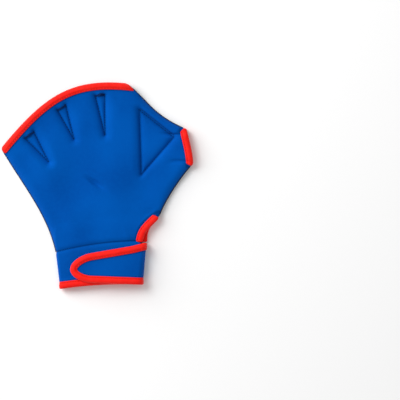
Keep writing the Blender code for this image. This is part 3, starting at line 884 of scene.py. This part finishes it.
class SheetPair:
    """Heights of one panel at its fine plan, level under the tapes as its solid is.

    Args:
        plan: the panel's fine plan.
        relief: the heights before levelling.
        side: which panel it is.
    """

    overrun = 2
    tuck = 0.0016
    end_rows = 6.0
    seam_rows = 3.0
    wrist_roll = (0.0009, 0.0022)

    def __init__(self, plan: PanelPlan, relief: Relief, side: Side) -> None:
        self.plan = plan
        self.side = side
        flat = plan.points.reshape(-1, 2)
        self.size = plan.points.shape[:2]
        back = side is Side.BACK
        self.height = (relief.back(flat) if back else relief.palm(flat)).reshape(self.size)
        wrist = np.abs(flat[:, 1] - HAND.seam_y(flat[:, 0]))
        mouths = relief.mouths[:2] + [relief.back_slit] if back else relief.mouths
        seam = np.minimum(nearest(flat, relief.sides), wrist)
        # Distances from the tapes and the seams, which place the neoprene's painted shade.
        self.marks = {"bound": nearest(flat, mouths).reshape(self.size), "seam": seam.reshape(self.size)}
        self.stitched = relief.stitched
        self.slot = "blue_neoprene" if back else "black_knit_neoprene"
        self._level(self.height.T, plan.refine, 1.0)
        rows = np.arange(self.size[1])
        for mouth in (Mouth.SLIT, Mouth.THUMB):
            start, end = plan.rows_of(mouth.value)
            beyond = np.clip(np.maximum(start - rows, rows - end), 0, None)
            self._level(self.height, 3 * plan.refine, 1.0 - smooth(beyond / self.end_rows))
        if back:
            depth, width = self.wrist_roll
            self.height -= depth * bell(wrist.reshape(self.size), width)
        self.tree = KDTree(len(flat))
        for index, (x, y) in enumerate(flat.tolist()):
            self.tree.insert((x, y, 0.0), index)
        self.tree.balance()

    def _level(self, height: Array, reach: int, share: Number) -> None:
        """Keeps the sheet level across the band that a tape covers, and eases it back beyond."""
        k = self.plan.refine
        edge = height[-1].copy()
        off = edge - height[-1 - k]
        for step in range(reach + 1):
            height[-1 - k - step] += off * (1.0 - smooth(step / reach)) * share
            if step < k:
                height[-1 - step] += (edge - height[-1 - step]) * share

    def sample(self, flat: Array) -> Array:
        """Height of the sheet's underside at any points of the plan."""
        heights = self.height.reshape(-1)
        found = []
        for x, y in flat.tolist():
            close = self.tree.find_n((x, y, 0.0), 4)
            weights = [1.0 / (distance + 1e-6) for _, _, distance in close]
            total = sum(weight * heights[index] for weight, (_, index, _) in zip(weights, close))
            found.append(total / sum(weights))
        return np.array(found)

    def surfaces(self, spread: float) -> tuple[Array, Array]:
        """Upper and lower faces, with the closed seams moved out by spread."""
        points = self.plan.points.copy()
        for edge, name in ((0, "little_side"), (-1, "thumb_under"), (-1, "web")):
            out = unit(points[edge] - points[1 if edge == 0 else -2])
            share = np.ones(len(out))
            if edge:
                start, end = self.plan.rows_of(name)
                rows = np.arange(len(out))
                share = np.clip(np.minimum(rows - start, end - rows) / self.seam_rows, 0.0, 1.0)
            points[edge] += out * spread * share[:, None]
        lower = np.concatenate([points, self.height[..., None]], axis=2)
        return lower + (0.0, 0.0, CLOTH.sheet), lower

    def stations(self, mouth: Mouth) -> Stations:
        """Where the tape of one mouth runs."""
        points, k = self.plan.points, self.plan.refine
        if mouth is Mouth.FINGERS:
            edge, inner, height = points[:, -1], points[:, -1 - k], self.height[:, -1]
        else:
            start, end = self.plan.rows_of(mouth.value)
            over = self.overrun if mouth is Mouth.THUMB else 0
            rows = slice(start - over, end + 1 + over)
            edge, inner, height = points[-1, rows], points[-1 - k, rows], self.height[-1, rows]
        if mouth is Mouth.SLIT:
            step = unit(edge[0] - edge[1]) * self.tuck
            steps = np.array((step, step / 2.0))
            edge, inner = (np.vstack([line[0] + steps, line]) for line in (edge, inner))
            height = np.concatenate([height[:1], height[:1], height])
        way = inner - edge
        width = np.abs(turn(unit(np.gradient(edge, axis=0)), way))
        inward = np.column_stack([way / width[:, None], np.zeros(len(edge))])
        up = np.tile((0.0, 0.0, self.side.up), (len(edge), 1))
        middle = np.column_stack([edge, height + CLOTH.sheet / 2.0])
        return Stations(middle, inward, up, np.full(len(edge), float(self.side is Side.BACK)))


class NodeTree:
    """Short ways to add and link shader nodes."""

    def __init__(self, tree: bpy.types.NodeTree) -> None:
        self.tree = tree

    def add(self, kind: str, settings: dict | None = None, **inputs) -> bpy.types.Node:
        """A new node with its settings and its inputs, each a value or an output socket."""
        node = self.tree.nodes.new(kind)
        for key, value in (settings or {}).items():
            setattr(node, key, value)
        for key, value in inputs.items():
            self.feed(node.inputs[key.replace("_", " ")], value)
        return node

    def feed(self, socket: Socket, value: object) -> None:
        """Links an output to a socket, or sets the socket's own value."""
        if isinstance(value, Socket):
            self.tree.links.new(value, socket)
        else:
            socket.default_value = value

    def math(self, operation: str, *values: object) -> Socket:
        """The result of one Math node."""
        node = self.add("ShaderNodeMath", {"operation": operation})
        for socket, value in zip(node.inputs, values):
            self.feed(socket, value)
        return node.outputs[0]

    def vector(self, operation: str, *values: object, out: str = "Vector") -> Socket:
        """The result of one Vector Math node."""
        node = self.add("ShaderNodeVectorMath", {"operation": operation})
        for socket, value in zip(node.inputs, values):
            self.feed(socket, value)
        return node.outputs[out]

    def remap(
        self, value: object, low: float, high: float, to_low: float, to_high: float
    ) -> Socket:
        """A value moved smoothly from one range to another."""
        node = self.add("ShaderNodeMapRange", {"interpolation_type": "SMOOTHSTEP"}, Value=value)
        for key, item in zip(("From Min", "From Max", "To Min", "To Max"), (low, high, to_low, to_high)):
            node.inputs[key].default_value = item
        return node.outputs["Result"]

    def mix(self, factor: object, one: object, two: object) -> Socket:
        """Two colours mixed by a factor."""
        node = self.add("ShaderNodeMix", {"data_type": "RGBA"})
        for index, value in ((0, factor), (6, one), (7, two)):
            self.feed(node.inputs[index], (*value, 1.0) if isinstance(value, tuple) else value)
        return node.outputs[2]

    def noise(self, place: object, scale: float, detail: float = 2.0) -> Socket:
        """Smooth noise over a place in metres."""
        return self.add("ShaderNodeTexNoise", None, Vector=place, Scale=scale, Detail=detail).outputs["Fac"]

    def group(self, tree: bpy.types.NodeTree, **inputs) -> bpy.types.bpy_prop_collection:
        """The outputs of a shared effect."""
        return self.add("ShaderNodeGroup", {"node_tree": tree}, **inputs).outputs


def new_group(name: str, inputs: dict[str, str], outputs: Sequence[str]) -> tuple[NodeTree, dict, dict]:
    """An empty node group.

    Args:
        name: the group's name.
        inputs: socket type of each input.
        outputs: names of its outputs, all plain values.

    Returns:
        The group's tree, its input sockets and its output sockets, by name.
    """
    group = bpy.data.node_groups.new(name, "ShaderNodeTree")
    for key, kind in inputs.items():
        group.interface.new_socket(key, in_out="INPUT", socket_type=f"NodeSocket{kind}")
    for key in outputs:
        group.interface.new_socket(key, in_out="OUTPUT", socket_type="NodeSocketFloat")
    tree = NodeTree(group)
    entry, leave = tree.add("NodeGroupInput"), tree.add("NodeGroupOutput")
    return tree, {key: entry.outputs[key] for key in inputs}, {key: leave.inputs[key] for key in outputs}


class Effects:
    """The shared effects: knitted face, patchy tone, and distance to the stitched lines.

    Args:
        lines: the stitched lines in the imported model's frame.
    """

    bend_scale = 90.0
    lean = 0.35
    broad = (17.0, 1.5)
    fine = (260.0, 3.0)

    def __init__(self, lines: Sequence[Array]) -> None:
        self.knit = self._knit()
        self.patches = self._patches()
        self.segment = self._segment()
        self.stitched = self._stitched(lines)

    def _knit(self) -> bpy.types.NodeTree:
        """Loops of the knit, or its ribs, as a height and a shade; the shade places the painted highlight on
        the raised loops.
        """
        tree, given, out = new_group(
            "knit_face", {"Place": "Vector", "Scale": "Float", "Rib": "Float"}, ("Height", "Shade")
        )
        split = tree.add("ShaderNodeSeparateXYZ", None, Vector=given["Place"])
        across, up = (tree.math("MULTIPLY", split.outputs[axis], given["Scale"]) for axis in "XY")
        across = tree.math("ADD", across, tree.noise(given["Place"], self.bend_scale))
        wale = tree.math("ABSOLUTE", tree.math("SINE", tree.math("MULTIPLY", across, math.pi)))
        slanted = tree.math("ADD", up, tree.math("MULTIPLY", wale, self.lean))
        course = tree.math("SINE", tree.math("MULTIPLY", slanted, 2.0 * math.pi))
        loops = tree.math("MULTIPLY", wale, tree.math("MULTIPLY_ADD", course, 0.5, 0.5))
        mixed = tree.add("ShaderNodeMix", {"data_type": "FLOAT"})
        for index, value in ((0, given["Rib"]), (2, loops), (3, wale)):
            tree.feed(mixed.inputs[index], value)
        tree.feed(out["Height"], mixed.outputs[0])
        tree.feed(out["Shade"], tree.math("MULTIPLY_ADD", mixed.outputs[0], 0.5, 0.5))
        return tree.tree

    def _patches(self) -> bpy.types.NodeTree:
        """Broad and fine unevenness of the dye."""
        tree, given, out = new_group("patchy_tone", {"Place": "Vector"}, ("Broad", "Fine"))
        tree.feed(out["Broad"], tree.remap(tree.noise(given["Place"], *self.broad), 0.32, 0.68, 0.0, 1.0))
        tree.feed(out["Fine"], tree.noise(given["Place"], *self.fine))
        return tree.tree

    @staticmethod
    def _segment() -> bpy.types.NodeTree:
        """Distance to one straight length."""
        tree, given, out = new_group(
            "segment_distance", {"Place": "Vector", "Start": "Vector", "End": "Vector"}, ("Distance",)
        )
        way = tree.vector("SUBTRACT", given["Place"], given["Start"])
        run = tree.vector("SUBTRACT", given["End"], given["Start"])
        dot, full = (tree.vector("DOT_PRODUCT", other, run, out="Value") for other in (way, run))
        share = tree.add("ShaderNodeClamp", None, Value=tree.math("DIVIDE", dot, full)).outputs[0]
        scaled = tree.add("ShaderNodeVectorMath", {"operation": "SCALE"}, Vector=run, Scale=share).outputs[0]
        tree.feed(out["Distance"], tree.vector("DISTANCE", way, scaled, out="Value"))
        return tree.tree

    def _stitched(self, lines: Sequence[Array]) -> bpy.types.NodeTree:
        """Distance to the nearest stitched line in the plan."""
        tree, given, out = new_group("stitched_lines", {"Place": "Vector"}, ("Distance",))
        flat = tree.vector("MULTIPLY", given["Place"], (1.0, 1.0, 0.0))
        found = None
        for line in lines:
            for a, b in zip(line, line[1:]):
                here = tree.group(self.segment, Place=flat, Start=(*a, 0.0), End=(*b, 0.0))["Distance"]
                found = here if found is None else tree.math("MINIMUM", found, here)
        tree.feed(out["Distance"], found)
        return tree.tree


@dataclass(frozen=True)
class Finish:
    """Woven or knitted cloth: folded tape, thread and fastener pile.

    Args:
        name: the material's name.
        colour: its colour.
        shade: the colour of its darker patches, and the tint of the neoprene's painted shade.
        crown_highlight: the painted highlight colour on the crowns of its loops.
        glow: tint of its sheen.
        pitch: width of one loop.
        depth: height of one loop.
        rib: share of plain ribs in the knit.
        turned: turn of the knit in the plan.
        highlight_least: least share of the painted highlight, where the fine noise is low.
        lift: most share of the painted highlight.
        uneven: range of the roughness.
    """

    name: str
    colour: Colour
    shade: Colour
    crown_highlight: Colour
    glow: Colour
    roughness: float = 0.55
    sheen: float = 0.15
    sheen_roughness: float = 0.40
    gloss: float = 0.30
    pitch: float = 0.00050
    depth: float = 0.00003
    rib: float = 0.4
    turned: float = 0.6
    highlight_least: float = 0.2
    lift: float = 0.35
    uneven: float = 0.20

    def build(self, effects: Effects) -> Material:
        """The finish as a material.

        Args:
            effects: the shared node groups.

        Returns:
            A new material.
        """
        material = bpy.data.materials.new(self.name)
        material.use_nodes = True
        tree = NodeTree(material.node_tree)
        place = tree.add("ShaderNodeTexCoord").outputs["Object"]
        knitted = tree.add(
            "ShaderNodeVectorRotate", {"rotation_type": "Z_AXIS"}, Vector=place, Angle=self.turned
        ).outputs[0]
        knit = tree.group(effects.knit, Place=knitted, Scale=1.0 / self.pitch, Rib=self.rib)
        patches = tree.group(effects.patches, Place=place)
        colour = tree.mix(patches["Broad"], self.shade, self.colour)
        # Painted highlight: the lighter crown colour is mixed in where the knit's loops stand highest, by a
        # share that fine noise varies.
        lit = tree.math("MULTIPLY", knit["Shade"], tree.remap(patches["Fine"], 0.35, 0.7, self.highlight_least, 1.0))
        colour = tree.mix(tree.math("MULTIPLY", lit, self.lift), colour, self.crown_highlight)
        height = tree.math("MULTIPLY", knit["Height"], self.depth)
        colour, height = self.mark(tree, effects, place, colour, height)
        rough = tree.math("MULTIPLY_ADD", patches["Fine"], self.uneven, self.roughness - self.uneven / 2.0)
        bump = tree.add("ShaderNodeBump", None, Height=height, Strength=1.0, Distance=1.0)
        values = {"Base Color": colour, "Roughness": rough, "Normal": bump.outputs["Normal"]}
        values |= {"Sheen Weight": self.sheen, "Sheen Roughness": self.sheen_roughness}
        values |= {"Specular IOR Level": self.gloss}
        values |= {key: (*self.glow, 1.0) for key in ("Sheen Tint", "Specular Tint")}
        shader = material.node_tree.nodes["Principled BSDF"]
        for key, value in values.items():
            tree.feed(shader.inputs[key], value)
        return material

    def mark(self, tree: NodeTree, effects: Effects, place: Socket, colour: Socket, height: Socket) -> tuple:
        """Colour and height with painted shade and grooves along the sewing, which is nothing here."""
        return colour, height


@dataclass(frozen=True)
class NeopreneFinish(Finish):
    """Knit-faced neoprene, with painted shade beside its tapes, in its seams and along its stitches, which are
    also pressed in.

    Args:
        tape_shade: start and end of the painted shadow beside a tape, and how dark it is.
        seam_shade: the same for the painted shade in a seam.
        stitch_shade: the same for the painted shade along the stitches.
        groove: start and end of the fine groove along the stitches, and its depth.
        painted_shade_tone: share of the shade's colour that the darkest painted shade keeps.
    """

    tape_shade: tuple[float, float, float] = (0.0062, 0.0088, 0.60)
    seam_shade: tuple[float, float, float] = (0.0, 0.0016, 0.60)
    stitch_shade: tuple[float, float, float] = (0.0002, 0.0014, 0.26)
    groove: tuple[float, float, float] = (0.0, 0.0013, -0.00045)
    painted_shade_tone: float = 0.25
    roughness: float = 0.78
    sheen: float = 0.22
    sheen_roughness: float = 0.45
    gloss: float = 0.25
    pitch: float = 0.00062
    depth: float = 0.00004
    rib: float = 0.0
    turned: float = 0.0
    highlight_least: float = 0.3
    lift: float = 0.30
    uneven: float = 0.16

    def mark(self, tree: NodeTree, effects: Effects, place: Socket, colour: Socket, height: Socket) -> tuple:
        """Colour and height with the painted shade at tapes, seams and stitches, and the groove along the
        stitches.
        """
        near = tree.group(effects.stitched, Place=place)["Distance"]
        beside, joined = (
            tree.remap(tree.add("ShaderNodeAttribute", {"attribute_name": name}).outputs["Fac"], *shade, 0.0)
            for name, shade in (("bound", self.tape_shade), ("seam", self.seam_shade))
        )
        # Painted shade: the colour darkens beside the tapes, in the seams and along the stitches.
        dark = tree.math("MAXIMUM", beside, joined)
        dark = tree.math("MAXIMUM", dark, tree.remap(near, *self.stitch_shade, 0.0))
        height = tree.math("ADD", height, tree.remap(near, *self.groove, 0.0))
        return tree.mix(dark, colour, tuple(self.painted_shade_tone * part for part in self.shade)), height


BLUE = NeopreneFinish(
    "blue_knit_neoprene",
    (0.000, 0.083, 0.400), (0.000, 0.062, 0.325), (0.000, 0.104, 0.460), (0.02, 0.22, 0.90),
)
BLACK = NeopreneFinish(
    "black_ribbed_neoprene",
    (0.012, 0.012, 0.012), (0.008, 0.008, 0.009), (0.035, 0.035, 0.038), (0.9, 0.9, 1.0),
    roughness=0.85, sheen=0.15, pitch=0.00120, rib=1.0, depth=0.00012,
)
RED = Finish(
    "red_binding_tape",
    (0.930, 0.014, 0.010), (0.840, 0.010, 0.008), (0.990, 0.045, 0.030), (1.0, 0.20, 0.15),
)
RED_THREAD = Finish(
    "red_sewing_thread",
    (0.620, 0.010, 0.006), (0.520, 0.008, 0.005), (0.800, 0.050, 0.030), (1.0, 0.20, 0.15),
    pitch=0.00030,
)
NAVY_THREAD = Finish(
    "navy_sewing_thread",
    (0.002, 0.018, 0.100), (0.002, 0.012, 0.070), (0.006, 0.040, 0.180), (0.10, 0.30, 0.90),
    pitch=0.00030,
)
BLUE_THREAD = Finish(
    "blue_sewing_thread",
    (0.000, 0.055, 0.300), (0.000, 0.045, 0.250), (0.004, 0.090, 0.420), (0.10, 0.30, 0.90),
    pitch=0.00030,
)
GREY_PILE = Finish(
    "grey_fastener_pile",
    (0.060, 0.060, 0.062), (0.040, 0.040, 0.042), (0.140, 0.140, 0.145), (0.9, 0.9, 1.0),
    roughness=0.9, pitch=0.00080, depth=0.00025,
)


def declare(piece: bpy.types.Object, slot: str, *nodes: str) -> None:
    """Hangs a piece on the root body and hides the solids that it stands for."""
    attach(piece, "root")
    if nodes:
        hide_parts(*nodes)


@dataclass
class HandShell:
    """The two neoprene panels of the hand.

    Args:
        back: the back panel.
        palm: the palm panel.
        rim: radius of the cut edges.
        palm_spread: how far the palm stands out of the closed seams.
        rise_share: area that the sheets gain over their plan by rising; not used.
    """

    back: SheetPair
    palm: SheetPair
    rim: float = 0.00055
    palm_spread: float = 0.00075
    rise_share: float = 1.02

    def build(self, builder: Builder, blue: Material, black: Material) -> None:
        back_job = (self.back, blue, 0.0, 0.0, ["palm_shell"])
        palm_job = (self.palm, black, self.palm_spread, ROOM.palm_crease, [])
        for pair, finish, spread, crease, rests in (back_job, palm_job):
            upper, lower = pair.surfaces(spread)
            near = nearest(lower[..., :2].reshape(-1, 2), pair.stitched).reshape(pair.size)
            lower[..., 2] += crease * bell(near, ROOM.crease_width)
            shape = builder.shell(in_row(upper), in_row(lower), pair.marks, self.rim)
            piece = builder.finish(f"{pair.side.value}_shell", shape, finish)
            declare(piece, pair.slot, f"{pair.side.value}_panel")


@dataclass
class CuffAssembly:
    """The strip that makes cuff and strap, its tape and the closure under the strap."""

    plan: StripPlan
    rim: float = 0.0005
    pad_rim: float = 0.0004
    seam_roll: tuple[float, float] = (0.0009, 0.0020)
    seam_far: float = 0.05
    pads: tuple = (("hook_pad", 0.0, 0.48), ("loop_pad", 0.52, 1.0))
    tip_step: int = 4

    def build(self, builder: Builder, blue: Material, pile: Material) -> None:
        """Makes the strip and the closure patch."""
        points, normals = self.plan.points, self.plan.normals()
        half = CLOTH.sheet / 2.0
        width = np.linalg.norm(points[:, -1] - points[:, 0], axis=1)[:, None]
        hem, top = self.plan.shares * width, (1.0 - self.plan.shares) * width
        strap = np.arange(len(points))[:, None] >= self.plan.fold_start
        # Distances from the tape and the wrist seam, which place the neoprene's painted shade.
        marks = {
            "bound": np.where(strap, np.minimum(hem, top), hem),
            "seam": np.where(strap, self.seam_far, top),
        }
        depth, reach = self.seam_roll
        centre = points - normals * np.where(strap, 0.0, depth * bell(top, reach))[..., None]
        outer, inner = (in_row(centre + normals * way) for way in (half, -half))
        piece = builder.finish("cuff_strip", builder.shell(outer, inner, marks, self.rim), blue)
        declare(piece, "blue_neoprene", "cuff_strap")
        self._patch(builder, pile)

    def _patch(self, builder: Builder, pile: Material) -> None:
        """Two thin pads that face each other under the strap."""
        length, width, over = STRIP.patch
        x = self.plan.round_x - length * over + np.linspace(0.0, length, 25)
        y = float(self.plan.strap_y(self.plan.round_x, 0.5)) + np.linspace(-width / 2.0, width / 2.0, 11)
        base = self.plan.back_z(x, 1.0) + CLOTH.sheet / 2.0 + CLOTH.piece_gap
        depth = STRIP.gap + CLOTH.rise - 2.0 * CLOTH.piece_gap
        for name, start, end in self.pads:
            faces = []
            for share in (end, start):
                places = np.broadcast_arrays(x[:, None], y[None], (base + depth * share)[:, None])
                faces.append(in_row(np.stack(places, axis=2)))
            piece = builder.finish(name, builder.shell(*faces, {}, self.pad_rim), pile)
            declare(piece, "hook_and_loop", "closure_patch")

    def stations(self) -> Stations:
        """The run of the cuff's tape: hem, strap's lower edge, round end and upper edge."""
        points, normals = self.plan.points, self.plan.normals()
        last = len(points) - 1
        stop = self.plan.fold_start + self.plan.right_cells // 4
        keys = [(i, 0) for i in range(last)]
        keys += [(last, j) for j in range(0, len(self.plan.shares), self.tip_step)]
        keys += [(i, -1) for i in range(last - 1, stop, -1)]
        middle, up = (np.array([grid[key] for key in keys]) for grid in (points, normals))
        inward = np.cross(up, unit(np.gradient(middle, axis=0)))
        if inward[0] @ (points[0, 4] - points[0, 0]) < 0.0:
            inward = -inward
        return Stations(middle, unit(inward), up, smooth((up[:, 2] - 0.2) / 0.6))


@dataclass
class Stitching:
    """Thread of the darts and the web triangle, seen on both sides of the hand.

    Args:
        relief: the heights that know the stitched lines.
        double: how far apart the two rows of the web's upper side run.
        inset: how much the second row is shorter at each end.
        back_sink: height of the thread's middle over the back sheet's face.
        palm_sink: height of the thread's middle over the palm sheet's underside.
    """

    relief: Relief
    row: StitchRow = field(default_factory=lambda: StitchRow(0.0029, 0.0029 * 0.62, 0.00032))
    tack: StitchRow = field(default_factory=lambda: StitchRow(0.00060, 0.0036, 0.00036))
    double: float = 0.0017
    inset: float = 0.001
    tack_lean: float = 0.25
    back_sink: float = 0.00010
    palm_sink: float = 0.00042

    def lines(self) -> dict[str, list[Array]]:
        """The darts' sides with the web's doubled upper side, and the web's two plain sides."""
        a, b, c = self.relief.web
        run = unit(b - a)
        aside = np.array((-run[1], run[0])) * self.double
        doubled = [np.array((a, b)), np.array((a + run * self.inset + aside, b - run * self.inset + aside))]
        return {"dart": self.relief.stitched[:-1] + doubled, "web": [np.array((b, c, a))]}

    def build(
        self, builder: Builder, pair: SheetPair, threads: tuple[Material, Material]
    ) -> None:
        """Lays the thread on one face of the hand.

        Args:
            builder: the maker of pieces.
            pair: the panel that is stitched.
            threads: the darts' thread and the web's.
        """
        for (word, lines), thread in zip(self.lines().items(), threads):
            shape = bmesh.new()
            for line in lines:
                self._sew(shape, line, pair)
            if word == "dart":
                self._tack(shape, pair)
            declare(builder.finish(f"{pair.side.value}_{word}_stitches", shape, thread), pair.slot)

    def _sew(self, shape: Shape, line: Array, pair: SheetPair) -> None:
        """Adds the running stitches of one line."""
        for a, b in zip(line, line[1:]):
            steps = max(int(np.linalg.norm(b - a) / 0.001), 2)
            flat = a + (b - a) * np.linspace(0.0, 1.0, steps + 1)[:, None]
            self.row.add(shape, *self._laid(flat, pair))

    def _tack(self, shape: Shape, pair: SheetPair) -> None:
        """Adds the bar of close stitches at each dart's top."""
        for _, b, c in self.relief.darts:
            run = unit(c - b)
            count = int(np.linalg.norm(c - b) / self.tack.pitch)
            flat = b + (c - b) * (np.arange(count) + 0.5)[:, None] / count
            lean = np.array((-run[1], run[0], 0.0)) + self.tack_lean * np.array((*run, 0.0))
            part = bmesh.new()
            for point, up in zip(*self._laid(flat, pair)):
                self.tack.add_length(part, point, lean, up)
            gather(shape, part)

    def _laid(self, flat: Array, pair: SheetPair) -> tuple[Array, Array]:
        """Middles of the thread on the cloth, and the way out of the cloth at each."""
        over = CLOTH.sheet + self.back_sink if pair.side is Side.BACK else self.palm_sink
        middle = in_row(np.column_stack([flat, pair.sample(flat) + over]))
        return middle, np.tile((0.0, 0.0, pair.side.up), (len(flat), 1))


@dataclass(frozen=True)
class Studio:
    """Pale floor, soft lamps and a camera straight above, off to the glove's thumb side.

    Args:
        aim: point of the floor at the picture's middle.
        width: width of the picture on the floor.
        lamps: name, power, size and place of each lamp.
    """

    aim: tuple[float, float] = (0.1129, -0.0156)
    width: float = 0.440
    distance: float = 3.0
    sensor: float = 36.0
    floor_size: float = 6.0
    floor_z: float = -0.0001
    floor_colour: Colour = (0.97, 0.97, 0.97)
    ambient: float = 0.50
    lamps: tuple[tuple[str, float, float, tuple[float, float, float]], ...] = (
        ("high_lamp", 26.0, 1.3, (-1.15, 1.05, 1.8)),
        ("low_lamp", 48.0, 2.3, (-1.85, 0.95, 0.85)),
    )

    def build(self, builder: Builder) -> None:
        """Makes the camera, floor, lamps and world."""
        data = bpy.data.cameras.new("camera")
        data.sensor_width = self.sensor
        data.lens = self.sensor * self.distance / self.width
        data.dof.use_dof = False
        data.clip_end = 20.0
        bpy.context.scene.camera = self._add("camera", data, (*self.aim, self.distance))
        self._floor(builder)
        for name, power, size, place in self.lamps:
            data = bpy.data.lights.new(name, "AREA")
            data.shape, data.size, data.energy = "DISK", size, power
            lamp = self._add(name, data, place)
            lamp.rotation_mode = "QUATERNION"
            lamp.rotation_quaternion = (-Vector(place)).to_track_quat("-Z", "Y")
        world = bpy.data.worlds.new("studio")
        world.use_nodes = True
        back = world.node_tree.nodes["Background"]
        back.inputs["Color"].default_value = (1.0, 1.0, 1.0, 1.0)
        back.inputs["Strength"].default_value = self.ambient
        bpy.context.scene.world = world
        bpy.context.scene.view_settings.view_transform = "Standard"

    @staticmethod
    def _add(name: str, data: bpy.types.ID, place: Sequence[float]) -> bpy.types.Object:
        """Puts a camera or a lamp into the scene."""
        item = bpy.data.objects.new(name, data)
        item.location = place
        bpy.context.scene.collection.objects.link(item)
        return item

    def _floor(self, builder: Builder) -> None:
        """Makes the pale floor."""
        ends = np.array((-self.floor_size / 2.0, self.floor_size / 2.0))
        place = np.zeros((2, 2, 3))
        place[..., 0], place[..., 1], place[..., 2] = ends[:, None], ends, self.floor_z
        material = bpy.data.materials.new("pale_floor")
        material.use_nodes = True
        shader = material.node_tree.nodes["Principled BSDF"]
        shader.inputs["Base Color"].default_value = (*self.floor_colour, 1.0)
        shader.inputs["Roughness"].default_value = 0.9
        shader.inputs["Specular IOR Level"].default_value = 0.0
        builder.finish("floor", builder.grid(place), material)


def build_bindings(builder: Builder, pairs: Sequence[SheetPair], cuff: CuffAssembly, effects: Effects) -> None:
    """Makes every tape and the thread that holds it."""
    tape, thread = RED.build(effects), RED_THREAD.build(effects)
    bindings = [Binding("cuff_tape", "cuff_binding", cuff.stations(), taper=0.0010)]
    for pair in pairs:
        for mouth, word in zip(Mouth, ("finger", "thumb", "slit")):
            name = f"{pair.side.value}_{word}"
            bindings.append(Binding(f"{name}_tape", f"{name}_binding", pair.stations(mouth)))
    stitches = bmesh.new()
    for binding in bindings:
        declare(binding.build(builder, tape), "red_tape", binding.node)
        binding.stitch(StitchRow(), stitches)
    declare(builder.finish("tape_stitches", stitches, thread), "red_tape")


def main() -> None:
    """Builds the dressed glove and the studio."""
    logging.basicConfig(level=logging.INFO)
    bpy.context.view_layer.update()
    builder = Builder("dressed_glove")
    relief = Relief()
    stitching = Stitching(relief)
    sewn = [line + SHIFT[:2] for lines in stitching.lines().values() for line in lines]
    effects = Effects(sewn)
    back = SheetPair(PanelPlan(30, HAND.notch, refine=7), relief, Side.BACK)
    palm = SheetPair(PanelPlan(22, 0.0), relief, Side.PALM)
    blue, black = BLUE.build(effects), BLACK.build(effects)
    HandShell(back, palm).build(builder, blue, black)
    cuff = CuffAssembly(StripPlan())
    cuff.build(builder, blue, GREY_PILE.build(effects))
    build_bindings(builder, (back, palm), cuff, effects)
    navy, plain = NAVY_THREAD.build(effects), BLUE_THREAD.build(effects)
    stitching.build(builder, back, (navy, plain))
    stitching.build(builder, palm, (navy, navy))
    Studio().build(builder)
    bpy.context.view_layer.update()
    for item in builder.made:
        LOG.info("%s: %d faces", item.name, len(item.data.polygons))


if __name__ == "__main__":
    main()
